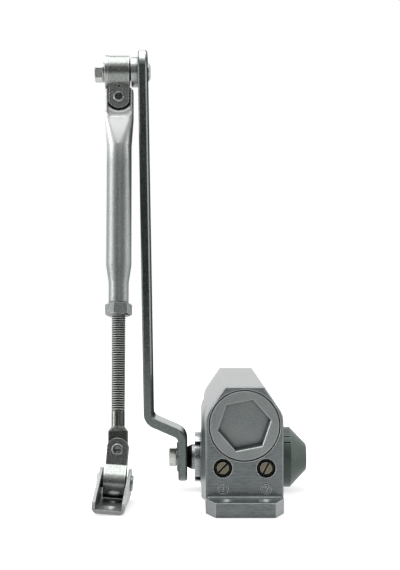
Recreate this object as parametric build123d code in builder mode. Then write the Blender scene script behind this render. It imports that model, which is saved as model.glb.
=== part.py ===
from build123d import *
import os
from math import acos, cos, pi, radians, sin, sqrt, tan

# Hydraulic door closer, standing on its mounting face with its arm folded upright.
# Millimetres. X runs along the spindle, Y along the body, Z away from the mounting face.
# The origin is the middle of the four fixing holes, on the mounting face.
# The front is the end with the two valve screws, at -Y. The arm is on the left, at -X.

os.makedirs("parts", exist_ok=True)

# Fits between pieces
running_fit = 0.05
thread_fit = 0.05
seat_gap = 0.05
plate_gap = 0.1

# Housing outside
body_length = 144.0
body_width = 40.0
top_flat_width = 20.0
shoulder_slope = 55.5
shoulder_radius = 11.0
face_edge = 0.7
swell_width = 44.0
swell_length = 48.0
swell_blend = 16.0
boss_radius = 15.5
boss_height = 0.3

# Fixing lugs at both ends of the housing
lug_length = 16.0
lug_thickness = 7.4
lug_tip_width = 30.2
lug_corner_length = 13.0
lug_root_radius = 1.5
fixing_spacing_x = 20.0
fixing_reach = 8.0
fixing_radius = 2.9
fixing_sink_radius = 4.6

# Piston bore and the plugs that close it
bore_roof = 1.6
bore_lift = 15.3
bore_radius = 16.5
plug_head_radius = 18.0
plug_mouth_radius = 18.5
plug_mouth_depth = 1.5
plug_thread_radius = 18.15
front_plug_depth = 14.0
rear_plug_depth = 10.0
plug_nose_length = 5.0
plug_nose_clearance = 0.05
plug_edge = 0.4
front_hex_size = 23.8
front_hex_depth = 9.0
front_hex_turn = 11.2
rear_hex_size = 12.0
rear_hex_depth = 5.0
hex_edge = 0.5
seal_groove_width = 2.2
seal_groove_depth = 1.6
seal_squeeze_gap = 0.02

# Spindle and its pinion
spindle_height = 18.5
journal_radius = 7.15
neck_radius = 5.3
square_size = 8.0
neck_start = 27.2
square_start = 29.8
module = 1.5
pinion_teeth = 14
pressure_angle = 20.0
pinion_width = 18.0
pinion_dedendum = 1.45
flank_steps = 5
tooth_play = 0.12
spindle_travel = 170.0
spindle_end_gap = 0.3
arm_bolt_depth = 12.0
arm_bolt_end_gap = 0.3

# Gland nuts, bushes and seals round the spindle
cross_bore_radius = 12.7
gland_flange_radius = 14.0
gland_flange_width = 3.35
gland_inner_end = 10.7
gland_bore_radius = 10.0
gland_lip = 1.9
spanner_slot_width = 4.0
spanner_slot_depth = 2.6
spanner_slot_turn = 37.0
bush_length = 6.0
thrust_gap = 0.1
thrust_washer_radius = 11.0
seal_cup_width = 1.3
seal_cup_depth = 3.0
gland_ring_inset = 1.6
gland_ring_width = 1.6
gland_ring_depth = 1.2

# Cap over the spare spindle end
cap_radius = 17.0
cap_skirt_length = 5.9
cap_height = 15.15
cap_tip_radius = 7.75
cap_tip_edge = 0.3
cap_wall = 1.8
cap_fit = 0.2
cap_slit_width = 0.8
cap_slit_turns = (35.5, 48.7)

# Valve screws
valve_spacing = 22.2
valve_drop = 21.8
valve_mouth_radius = 4.9
valve_mouth_depth = 1.9
valve_bore_radius = 3.6
valve_bore_depth = 30.0
valve_way_radius = 1.35
valve_way_depth = 42.0
valve_head_radius = 3.1
valve_head_inset = 0.9
valve_head_length = 4.1
valve_thread_radius = 3.55
valve_thread_length = 9.0
valve_stem_radius = 3.4
valve_groove_inset = 1.2
valve_groove_width = 1.6
valve_groove_depth = 1.2
valve_stem_length = 8.0
valve_needle_radius = 1.2
valve_needle_length = 8.0
valve_tip_length = 2.0
valve_slot_width = 1.1
valve_slot_depth = 1.8
valve_slot_turns = (45.0, 63.0)
valve_ring_radius = 4.8
valve_ring_inner_radius = 3.75
valve_ring_width = 1.0
valve_ring_inset = 0.7
oil_way_radius = 1.5
oil_way_depths = (26.0, 38.0)

# Plain circled numbers below the valve screws
number_drop = 10.3
number_ring_radius = 2.7
number_line = 0.45
number_depth = 0.45
digit_height = 2.9
digit_width = 1.6

# Piston with its rack
piston_clearance = 0.08
rack_addendum = 1.15
rack_dedendum = 1.8
rack_margin_front = 10.0
rack_margin_rear = 9.5
piston_rear_head = 7.0
piston_stop_gap = 0.3
spring_recess_radius = 13.0
spring_recess_depth = 4.0
piston_seal_width = 2.2
piston_seal_depth = 1.6
piston_seal_inset = 2.0
check_way_radius = 1.5
check_height = 6.5
check_chamber_radius = 3.0
check_chamber_depth = 8.0
check_ball_radius = 2.5
check_ball_lift = 0.8
check_ring_width = 1.2
check_ring_bore = 1.7

# Return spring
spring_wire_radius = 1.4
spring_radius = 11.2
spring_turns = 6.0

# Main arm, a flat bar with a crank near the spindle
arm_thickness = 5.0
arm_spindle_radius = 13.7
arm_elbow_radius = 12.75
arm_plane = 32.4
arm_length = 219.4
crank_low_height = 13.4
crank_high_height = 21.7
crank_offset = 19.3
elbow_offset = 22.7
crank_bend_radius = 6.0
arm_edge = 0.8
arm_spare = 2.0

# Bolt that holds the arm on its square
arm_washer_radius = 8.35
arm_washer_thickness = 0.8
bolt_size = 10.0
bolt_head_height = 4.1
bolt_collar = 0.4
bolt_radius = 2.95
bolt_hole_radius = 3.0
washer_hole_radius = 3.2
bolt_head_edge = 0.5

# Dust seal between the gland nut and the arm
dust_seal_tip_radius = 5.8

# Elbow stud, riveted in the arm
stud_shank_radius = 4.0
stud_collar_radius = 8.6
stud_collar_width = 3.85
stud_journal_radius = 5.0
stud_face_gap = 0.15
stud_head_radius = 4.95
stud_head_height = 1.65
stud_crown_radius = 3.5
stud_hole_depth = 11.0
elbow_washer_radius = 9.65
elbow_washer_thickness = 2.2
spring_washer_radius = 5.6
spring_washer_thickness = 1.6
spring_washer_cut = 0.9
elbow_bolt_head_height = 4.3
elbow_bolt_length = 12.0
elbow_bolt_turn = 20.0

# Elbow strap, wrapped round its bush
elbow_strap_width = 11.5
elbow_loop_radius = 9.4
elbow_strap_thickness = 2.0
elbow_strap_gap = 1.05
elbow_crease_drop = 5.5
elbow_neck_drop = 8.2
elbow_rivet_drop = 16.0
elbow_tab_radius = 6.5
strap_slot_drop = 9.6
strap_slot_width = 2.0
strap_slot_height = 1.0

# Rivets, drilled hollow from both ends
rivet_radius = 2.65
rivet_bore_radius = 2.1
rivet_head_radius = 3.15
rivet_head_height = 0.8
rivet_round = 0.35
rivet_web = 2.0
rivet_drill_point = 0.7

# Forearm tube, measured down from the elbow along the forearm
tab_half_gap = 2.1
forearm_back_lean = 11.2
forearm_side_lean = 0.45
tube_top = 10.4
tube_flat_end = 28.3
tube_round_start = 44.4
tube_neck_start = 112.7
tube_neck_length = 10.0
tube_end_length = 11.4
tube_radius = 7.0
tube_neck_radius = 5.5
tube_bore_radius = 5.6
fork_width = 16.0
fork_depth = 8.2
fork_corner = 1.9
fork_top_corner = 1.6
fork_slot_width = 12.2
fork_slot_radius = 7.8
fork_groove_floor = 0.9
fork_press_width = 13.4
fork_press_depth = 0.9
fork_press_end = 27.3
fork_press_corner = 2.0
rivet_play = 0.08

# Threaded rod and its lock nut
thread_radius = 4.0
thread_root_radius = 3.38
thread_pitch = 1.25
rod_top = 98.0
rod_shank_radius = 3.65
rod_shank_length = 8.2
rod_taper_length = 2.5
rod_flat_length = 10.1
rod_flat_width = 10.8
rod_flat_thickness = 4.0
rod_flat_corner = 0.9
round_remainder = 0.05
rod_end_radius = 5.4
nut_size = 13.0
nut_height = 7.0
nut_turn = 18.0
nut_edge = 0.9

# Foot strap and bracket, rolled a little about the lower rivet
foot_roll = 4.5
foot_rivet_rise = 17.1
foot_pin_height = 10.7
foot_strap_width = 11.4
foot_loop_radius = 8.4
foot_strap_thickness = 1.8
foot_crease_drop = 3.8
foot_neck_drop = 9.1
foot_tab_radius = 6.2
foot_shoulder = 2.6
foot_pin_radius = 3.2
foot_pin_head_radius = 4.2
foot_pin_head_height = 1.2
bracket_width = 16.9
bracket_wall = 1.6
bracket_base = 2.0
bracket_front_reach = 36.0
bracket_rear_reach = 12.0
bracket_front_height = 6.0
bracket_rear_height = 4.2
bracket_ear_radius = 7.6
bracket_corner = 3.0
bracket_hole_radius = 2.7
bracket_sink_radius = 4.4
bracket_hole_inset = 8.5
bracket_hole_spacing = 18.0

# Places worked out from the sizes above
half_length = body_length / 2
half_width = body_width / 2
half_swell = swell_width / 2
gland_seat = half_swell + boss_height
gland_face = gland_seat + gland_flange_width
flange_start = gland_seat + seat_gap
pitch_radius = module * pinion_teeth / 2
# Heights above the mounting face follow from the spindle, the pinion and the bore
bore_height = spindle_height + pitch_radius + bore_lift
body_height = bore_height + plug_mouth_radius + bore_roof
valve_height = bore_height - valve_drop
number_height = valve_height - number_drop
tube_neck_end = tube_neck_start + tube_neck_length
tube_end = tube_neck_end + tube_end_length
tooth_pitch = pi * module
piston_travel = pitch_radius * radians(spindle_travel)
piston_radius = bore_radius - piston_clearance
front_nose_end = -half_length + front_plug_depth + plug_nose_length
rear_seat = half_length - rear_plug_depth
rack_front = -piston_travel - rack_margin_front
piston_front = front_nose_end + piston_stop_gap
piston_rear = rack_margin_rear + piston_rear_head
arm_inner_face = arm_plane - arm_thickness / 2
arm_outer_face = arm_plane + arm_thickness / 2
elbow_height = spindle_height + arm_length
elbow_x = -(arm_plane + elbow_offset)
collar_right = elbow_x - arm_thickness / 2 - stud_face_gap
collar_left = collar_right - stud_collar_width
strap_right = collar_left - elbow_strap_gap
strap_middle = strap_right - elbow_strap_width / 2
strap_left = strap_right - elbow_strap_width
journal_end = strap_left - plate_gap
lean_back = radians(forearm_back_lean)
lean_side = radians(forearm_side_lean)
roll = radians(foot_roll)
# The bracket's lowest corner rests at the height of the mounting face
bracket_roll_reach = (bracket_width / 2 - bracket_corner) * sin(roll)
pin_rise = (foot_pin_height - bracket_corner) * cos(roll) + bracket_roll_reach + bracket_corner
forearm_drop = (elbow_height - pin_rise) / cos(lean_back)
forearm_length = forearm_drop - elbow_rivet_drop - foot_rivet_rise * cos(roll)
lower_rivet_drop = elbow_rivet_drop + forearm_length / cos(lean_side)
rod_flat_start = lower_rivet_drop - rod_flat_length
rod_shank_end = rod_flat_start - rod_taper_length
thread_end = rod_shank_end - rod_shank_length

bore_plane = Plane.XZ.shift_origin((0, 0, bore_height))
bore_turning = Plane.YZ.shift_origin((0, 0, bore_height))
spindle_plane = Plane.YZ.shift_origin((0, 0, spindle_height))
spindle_turning = Plane.XZ.shift_origin((0, 0, spindle_height))
elbow_turning = Plane.XZ.shift_origin((0, 0, elbow_height))

# Planes of the forearm: x along the elbow pin, y up along the forearm, z towards the front
elbow_plane = Plane(
    origin=(strap_middle, 0, elbow_height),
    x_dir=(1, 0, 0),
    z_dir=(0, -cos(lean_back), sin(lean_back)),
)
rivet_point = elbow_plane.from_local_coords((0, -elbow_rivet_drop, 0))
forearm_plane = Plane(
    origin=rivet_point,
    x_dir=elbow_plane.x_dir * cos(lean_side) + elbow_plane.y_dir * sin(lean_side),
    z_dir=elbow_plane.z_dir,
)
lower_rivet_point = forearm_plane.from_local_coords((0, elbow_rivet_drop - lower_rivet_drop, 0))
foot_strap_plane = Plane(
    origin=lower_rivet_point,
    x_dir=elbow_plane.x_dir * cos(roll) - elbow_plane.y_dir * sin(roll),
    z_dir=elbow_plane.z_dir,
)
foot_pin_point = foot_strap_plane.from_local_coords((0, -foot_rivet_rise, 0))
# Planes of the bracket: its middle, with x along it and y up, and the top of its floor
bracket_along = Vector(0, 0, 1).cross(foot_strap_plane.x_dir).normalized()
bracket_plane = Plane(
    origin=foot_pin_point, x_dir=bracket_along, z_dir=foot_strap_plane.x_dir
)
bracket_floor = Plane(
    origin=bracket_plane.from_local_coords((0, bracket_base - foot_pin_height, 0)),
    x_dir=bracket_along,
    z_dir=bracket_plane.y_dir,
)


def bore_section(y):
    """Plane across the piston bore at y, seen from the front."""
    return bore_plane.offset(-y)


def forearm_section(drop):
    """Plane across the forearm, at a distance down from the elbow."""
    origin = forearm_plane.from_local_coords((0, elbow_rivet_drop - drop, 0))
    return Plane(origin=origin, x_dir=forearm_plane.x_dir, z_dir=forearm_plane.y_dir)


def turn(plane, points, mode=Mode.ADD):
    """Turn a closed outline of (along, radius) points about the plane's x axis."""
    with BuildSketch(plane) as outline:
        with BuildLine():
            Polyline(*points, close=True)
        make_face()
    revolve(outline.sketch, axis=Axis(plane.origin, plane.x_dir), mode=mode)


def turn_ring(plane, start, end, inner, outer):
    """Turn a plain ring about the plane's x axis."""
    turn(plane, [(start, inner), (start, outer), (end, outer), (end, inner)])


def seal_ring(plane, along, inner, outer):
    """Turn a round rubber ring that fills a groove from its floor to the wall outside it."""
    with BuildSketch(plane) as section:
        with Locations((along, (inner + outer) / 2)):
            Circle((outer - inner) / 2 - seal_squeeze_gap)
    revolve(section.sketch, axis=Axis(plane.origin, plane.x_dir))


def hex_head(plane, size, height, turn_angle, edge, both_ends=False):
    """Six-sided head that stands on the plane, with its outer corners turned off."""
    corner = size / 2 / cos(pi / 6)
    with BuildSketch(plane) as section:
        RegularPolygon(size / 2, 6, major_radius=False, rotation=turn_angle)
    extrude(section.sketch, amount=height)
    turning = Plane(origin=plane.origin, x_dir=plane.z_dir, z_dir=plane.x_dir)
    foot = [(0, corner - 2 * edge), (edge, corner)] if both_ends else [(0, corner)]
    head = [(height - edge, corner), (height, corner - 2 * edge), (height, 0)]
    turn(turning, [(0, 0)] + foot + head, mode=Mode.INTERSECT)


def involute(angle):
    """Involute function of a pressure angle in radians."""
    return tan(angle) - angle


# Housing
tilt = tan(radians(shoulder_slope))
shoulder_corner = body_height - (half_swell - top_flat_width / 2) * tilt
shoulder_end_corner = body_height - (half_width - top_flat_width / 2) * tilt
swell_half_length = swell_length / 2
swell_end = swell_half_length + swell_blend
swell_middle = (swell_half_length + swell_end) / 2
plan_middle = (half_swell + half_width) / 2
fixing_points = [
    (x * fixing_spacing_x / 2, y * (half_length + fixing_reach)) for x in (-1, 1) for y in (-1, 1)
]
valve_points = [(-valve_spacing / 2, valve_height), (valve_spacing / 2, valve_height)]
rear_mouth = half_length - plug_mouth_depth

with BuildPart() as housing:
    # Section seen from the front, as wide as the swollen middle
    with BuildSketch(Plane.XZ):
        with BuildLine():
            Polyline(
                (-half_swell, 0),
                (-half_swell, shoulder_corner),
                (-top_flat_width / 2, body_height),
                (top_flat_width / 2, body_height),
                (half_swell, shoulder_corner),
                (half_swell, 0),
                close=True,
            )
        make_face()
    extrude(amount=half_length, both=True)
    # Outline seen from above, which draws the sides in towards both ends
    with BuildSketch(Plane.XY):
        with BuildLine():
            swell_side = Line((half_swell, 0), (half_swell, swell_half_length))
            leaving = TangentArc(swell_side @ 1, (plan_middle, swell_middle), tangent=(0, 1))
            arriving = TangentArc(leaving @ 1, (half_width, swell_end), tangent=leaving % 1)
            Polyline(arriving @ 1, (half_width, half_length), (0, half_length))
            mirror(about=Plane.YZ)
            mirror(about=Plane.XZ)
        make_face()
    extrude(amount=body_height, mode=Mode.INTERSECT)
    shoulders = housing.edges().filter_by_position(
        Axis.Z, shoulder_corner - 0.1, shoulder_end_corner + 0.1
    )
    fillet(shoulders, radius=shoulder_radius)
    end_edges = housing.faces().filter_by(Axis.Y).edges()
    chamfer(end_edges.filter_by(lambda e: e.center().Z > face_edge), length=face_edge)
    # Fixing lugs
    for way in (-1, 1):
        with BuildSketch(Plane.XY):
            with BuildLine():
                Polyline(
                    (-half_width, way * (half_length - face_edge - 1)),
                    (-half_width, way * (half_length + lug_length - lug_corner_length)),
                    (-lug_tip_width / 2, way * (half_length + lug_length)),
                    (lug_tip_width / 2, way * (half_length + lug_length)),
                    (half_width, way * (half_length + lug_length - lug_corner_length)),
                    (half_width, way * (half_length - face_edge - 1)),
                    close=True,
                )
            make_face()
        extrude(amount=lug_thickness)
    lug_roots = housing.edges().filter_by(Axis.X).filter_by(
        lambda e: abs(abs(e.center().Y) - half_length) < 0.01
        and abs(e.center().Z - lug_thickness) < 0.01
    )
    fillet(lug_roots, radius=lug_root_radius)
    # Machined spots for the gland nuts
    with BuildSketch(spindle_plane.offset(-gland_seat)):
        Circle(boss_radius)
    extrude(amount=2 * gland_seat)
    # Fixing holes
    with Locations(*[(x, y, lug_thickness) for x, y in fixing_points]):
        CounterSinkHole(fixing_radius, fixing_sink_radius, depth=lug_thickness)
    # Piston bore, threads and mouths
    with BuildSketch(bore_section(half_length)):
        Circle(bore_radius)
    extrude(amount=body_length, mode=Mode.SUBTRACT)
    for face, depth in ((-half_length, front_plug_depth), (half_length, rear_plug_depth)):
        inward = -1 if face < 0 else 1
        with BuildSketch(bore_section(face)):
            Circle(plug_thread_radius + thread_fit)
        extrude(amount=inward * depth, mode=Mode.SUBTRACT)
        with BuildSketch(bore_section(face)):
            Circle(plug_mouth_radius)
        extrude(amount=inward * plug_mouth_depth, mode=Mode.SUBTRACT)
    # Cross bore for the spindle
    with BuildSketch(spindle_plane.offset(-gland_seat)):
        Circle(cross_bore_radius)
    extrude(amount=2 * gland_seat, mode=Mode.SUBTRACT)
    # Valve bores with their mouths, and the oil ways up to the piston bore
    for radius, depth in (
        (valve_mouth_radius, valve_mouth_depth),
        (valve_bore_radius, valve_bore_depth),
        (valve_way_radius, valve_way_depth),
    ):
        with BuildSketch(Plane.XZ.offset(half_length)):
            with Locations(*valve_points):
                Circle(radius)
        extrude(amount=-depth, mode=Mode.SUBTRACT)
    oil_way_points = [(x, depth - half_length) for x, _ in valve_points for depth in oil_way_depths]
    with BuildSketch(Plane.XY.offset(valve_height)):
        with Locations(*oil_way_points):
            Circle(oil_way_radius)
    extrude(amount=bore_height - valve_height, mode=Mode.SUBTRACT)
    # Plain circled numbers
    with BuildSketch(Plane.XZ.offset(half_length)):
        with Locations(*[(x, number_height) for x, _ in valve_points]):
            Circle(number_ring_radius)
            Circle(number_ring_radius - number_line, mode=Mode.SUBTRACT)
    extrude(amount=-number_depth, mode=Mode.SUBTRACT)
    digit_top = number_height + digit_height / 2
    digit_foot = number_height - digit_height / 2
    digit_bend = digit_top - digit_width / 2
    one_x = -valve_spacing / 2
    two_x = valve_spacing / 2
    with BuildSketch(Plane.XZ.offset(half_length)):
        with BuildLine():
            Polyline((one_x - digit_width / 2, digit_bend), (one_x, digit_top), (one_x, digit_foot))
        trace(line_width=number_line)
        with BuildLine():
            ThreePointArc(
                (two_x - digit_width / 2, digit_bend),
                (two_x, digit_top),
                (two_x + digit_width / 2, digit_bend),
            )
            Polyline(
                (two_x + digit_width / 2, digit_bend),
                (two_x - digit_width / 2, digit_foot),
                (two_x + digit_width / 2, digit_foot),
            )
        trace(line_width=number_line)
    extrude(amount=-number_depth, mode=Mode.SUBTRACT)
housing.part.label = "housing"
export_step(housing.part, "parts/housing.step")


# Plugs at both ends of the bore, each with a groove for its rubber ring
nose_radius = bore_radius - plug_nose_clearance
groove_radius = nose_radius - seal_groove_depth
front_thread_end = -half_length + front_plug_depth - seat_gap
front_groove = (front_thread_end + front_nose_end) / 2
with BuildPart() as front_plug:
    turn(bore_turning, [
        (-half_length, 0),
        (-half_length, plug_head_radius - plug_edge),
        (-half_length + plug_edge, plug_head_radius),
        (-half_length + plug_mouth_depth, plug_head_radius),
        (-half_length + plug_mouth_depth, plug_thread_radius),
        (front_thread_end, plug_thread_radius),
        (front_thread_end, nose_radius),
        (front_groove - seal_groove_width / 2, nose_radius),
        (front_groove - seal_groove_width / 2, groove_radius),
        (front_groove + seal_groove_width / 2, groove_radius),
        (front_groove + seal_groove_width / 2, nose_radius),
        (front_nose_end, nose_radius),
        (front_nose_end, 0),
    ])
    with BuildSketch(bore_section(-half_length)):
        RegularPolygon(front_hex_size / 2, 6, major_radius=False, rotation=front_hex_turn)
    extrude(amount=-front_hex_depth, mode=Mode.SUBTRACT)
    front_face = front_plug.faces().sort_by(Axis.Y)[0]
    chamfer(front_face.inner_wires().edges(), length=hex_edge)
front_plug.part.label = "front_plug"
export_step(front_plug.part, "parts/front_plug.step")

rear_nose_end = rear_seat - plug_nose_length
rear_groove = (rear_seat + rear_nose_end) / 2
with BuildPart() as rear_plug:
    turn(bore_turning, [
        (half_length, 0),
        (half_length, plug_head_radius - plug_edge),
        (half_length - plug_edge, plug_head_radius),
        (rear_mouth, plug_head_radius),
        (rear_mouth, plug_thread_radius),
        (rear_seat + seat_gap, plug_thread_radius),
        (rear_seat + seat_gap, nose_radius),
        (rear_groove + seal_groove_width / 2, nose_radius),
        (rear_groove + seal_groove_width / 2, groove_radius),
        (rear_groove - seal_groove_width / 2, groove_radius),
        (rear_groove - seal_groove_width / 2, nose_radius),
        (rear_nose_end, nose_radius),
        (rear_nose_end, spring_recess_radius),
        (rear_seat, spring_recess_radius),
        (rear_seat, 0),
    ])
    with BuildSketch(bore_section(half_length)):
        RegularPolygon(rear_hex_size / 2, 6, major_radius=False)
    extrude(amount=rear_hex_depth, mode=Mode.SUBTRACT)
    rear_face = rear_plug.faces().sort_by(Axis.Y)[-1]
    chamfer(rear_face.inner_wires().edges(), length=hex_edge)
rear_plug.part.label = "rear_plug"
export_step(rear_plug.part, "parts/rear_plug.step")

with BuildPart() as front_plug_ring:
    seal_ring(bore_turning, front_groove, groove_radius, bore_radius)
front_plug_ring.part.label = "front_plug_ring"
export_step(front_plug_ring.part, "parts/front_plug_ring.step")

with BuildPart() as rear_plug_ring:
    seal_ring(bore_turning, rear_groove, groove_radius, bore_radius)
rear_plug_ring.part.label = "rear_plug_ring"
export_step(rear_plug_ring.part, "parts/rear_plug_ring.step")

# Piston, with a rack cut along its underside
pitch_plane_height = spindle_height + pitch_radius
rack_tip = pitch_plane_height - rack_addendum
rack_root = pitch_plane_height + rack_dedendum
slope = tan(radians(pressure_angle))
rack_half = tooth_pitch / 4 - tooth_play / 4
rack_tip_half = rack_half - rack_addendum * slope
rack_root_half = rack_half + rack_dedendum * slope
rack_rear = rack_margin_rear
rack_places = [(k + 0.5) * tooth_pitch for k in range(-pinion_teeth, pinion_teeth)]
rack_places = [
    y for y in rack_places if rack_front + rack_root_half < y < rack_rear - rack_root_half
]
bore_floor = bore_height - bore_radius
rack_outline = [(piston_front, bore_floor), (rack_front, bore_floor), (rack_front, rack_root)]
for y in rack_places:
    rack_outline += [
        (y - rack_root_half, rack_root),
        (y - rack_tip_half, rack_tip),
        (y + rack_tip_half, rack_tip),
        (y + rack_root_half, rack_root),
    ]
rack_outline += [
    (rack_rear, rack_root),
    (rack_rear, bore_floor),
    (piston_rear, bore_floor),
    (piston_rear, bore_height + bore_radius),
    (piston_front, bore_height + bore_radius),
]
piston_groove_radius = piston_radius - piston_seal_depth
front_seal_start = piston_front + piston_seal_inset
front_seal_end = front_seal_start + piston_seal_width
rear_seal_end = piston_rear - piston_seal_inset
rear_seal_start = rear_seal_end - piston_seal_width
check_plane = bore_turning.shift_origin((0, 0, bore_height + check_height))
check_floor = piston_front + check_chamber_depth
ball_seat = sqrt(check_ball_radius**2 - check_way_radius**2)
ball_middle = check_floor - ball_seat - seat_gap
check_ring_end = ball_middle - check_ball_radius - check_ball_lift
with BuildPart() as piston:
    with BuildSketch(Plane.YZ):
        with BuildLine():
            Polyline(*rack_outline, close=True)
        make_face()
    extrude(amount=bore_radius, both=True)
    turn(bore_turning, [
        (piston_front, 0),
        (piston_front, piston_radius),
        (front_seal_start, piston_radius),
        (front_seal_start, piston_groove_radius),
        (front_seal_end, piston_groove_radius),
        (front_seal_end, piston_radius),
        (rear_seal_start, piston_radius),
        (rear_seal_start, piston_groove_radius),
        (rear_seal_end, piston_groove_radius),
        (rear_seal_end, piston_radius),
        (piston_rear, piston_radius),
        (piston_rear, spring_recess_radius),
        (piston_rear - spring_recess_depth, spring_recess_radius),
        (piston_rear - spring_recess_depth, 0),
    ], mode=Mode.INTERSECT)
    turn(check_plane, [
        (check_floor, 0),
        (check_floor, check_way_radius),
        (piston_rear, check_way_radius),
        (piston_rear, 0),
    ], mode=Mode.SUBTRACT)
    turn(check_plane, [
        (piston_front, 0),
        (piston_front, check_chamber_radius),
        (check_floor, check_chamber_radius),
        (check_floor, 0),
    ], mode=Mode.SUBTRACT)
piston.part.label = "piston"
export_step(piston.part, "parts/piston.step")

with BuildPart() as piston_rings:
    for start, end in ((front_seal_start, front_seal_end), (rear_seal_start, rear_seal_end)):
        turn_ring(
            bore_turning,
            start + seat_gap,
            end - seat_gap,
            piston_groove_radius + seat_gap,
            bore_radius - seat_gap,
        )
piston_rings.part.label = "piston_rings"
export_step(piston_rings.part, "parts/piston_rings.step")

with BuildPart() as check_ball:
    with Locations((0, ball_middle, bore_height + check_height)):
        Sphere(check_ball_radius)
check_ball.part.label = "check_ball"
export_step(check_ball.part, "parts/check_ball.step")

with BuildPart() as check_ring:
    turn_ring(
        check_plane,
        check_ring_end - check_ring_width,
        check_ring_end,
        check_ring_bore,
        check_chamber_radius - seal_squeeze_gap,
    )
check_ring.part.label = "check_ring"
export_step(check_ring.part, "parts/check_ring.step")

# Return spring between the piston and the rear plug
spring_start = piston_rear - spring_recess_depth + spring_wire_radius + seat_gap
spring_end = rear_seat - spring_wire_radius - seat_gap
spring_length = spring_end - spring_start
with BuildPart() as return_spring:
    with BuildLine() as coil:
        Helix(
            pitch=spring_length / spring_turns,
            height=spring_length,
            radius=spring_radius,
            center=(0, spring_start, bore_height),
            direction=(0, 1, 0),
        )
    with BuildSketch(Plane(origin=coil.line @ 0, z_dir=coil.line % 0)):
        Circle(spring_wire_radius)
    sweep(is_frenet=True)
return_spring.part.label = "return_spring"
export_step(return_spring.part, "parts/return_spring.step")

# Spindle with its pinion, journals, necks and squares
stub_end = arm_outer_face - spindle_end_gap
base_radius = pitch_radius * cos(radians(pressure_angle))
tip_radius = pitch_radius + module
root_radius = pitch_radius - pinion_dedendum
half_tooth_angle = (tooth_pitch / 4 - tooth_play / 4) / pitch_radius
half_tooth_angle += involute(radians(pressure_angle))
flank_radii = [
    base_radius + (tip_radius - base_radius) * step / flank_steps for step in range(flank_steps + 1)
]
flank = [(root_radius, half_tooth_angle)]
flank += [(r, half_tooth_angle - involute(acos(base_radius / r))) for r in flank_radii]
pinion_outline = []
for tooth in range(pinion_teeth):
    middle = pi / 2 - tooth * 2 * pi / pinion_teeth
    for r, angle in flank:
        pinion_outline.append((r * cos(middle + angle), r * sin(middle + angle)))
    for r, angle in reversed(flank):
        pinion_outline.append((r * cos(middle - angle), r * sin(middle - angle)))
with BuildPart() as pinion_shaft:
    turn(spindle_turning, [
        (-stub_end, 0),
        (-stub_end, neck_radius),
        (-neck_start, neck_radius),
        (-neck_start, journal_radius),
        (neck_start, journal_radius),
        (neck_start, neck_radius),
        (stub_end, neck_radius),
        (stub_end, 0),
    ])
    with BuildSketch(spindle_plane):
        with BuildLine():
            Polyline(*pinion_outline, close=True)
        make_face()
    extrude(amount=pinion_width / 2, both=True)
    for way in (-1, 1):
        with BuildSketch(spindle_plane.offset(way * square_start)):
            Circle(journal_radius)
            Rectangle(square_size, square_size, mode=Mode.SUBTRACT)
        extrude(amount=way * (stub_end - square_start), mode=Mode.SUBTRACT)
        with BuildSketch(spindle_plane.offset(way * stub_end)):
            Circle(bolt_hole_radius)
        extrude(amount=-way * arm_bolt_depth, mode=Mode.SUBTRACT)
pinion_shaft.part.label = "pinion_shaft"
export_step(pinion_shaft.part, "parts/pinion_shaft.step")

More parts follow.
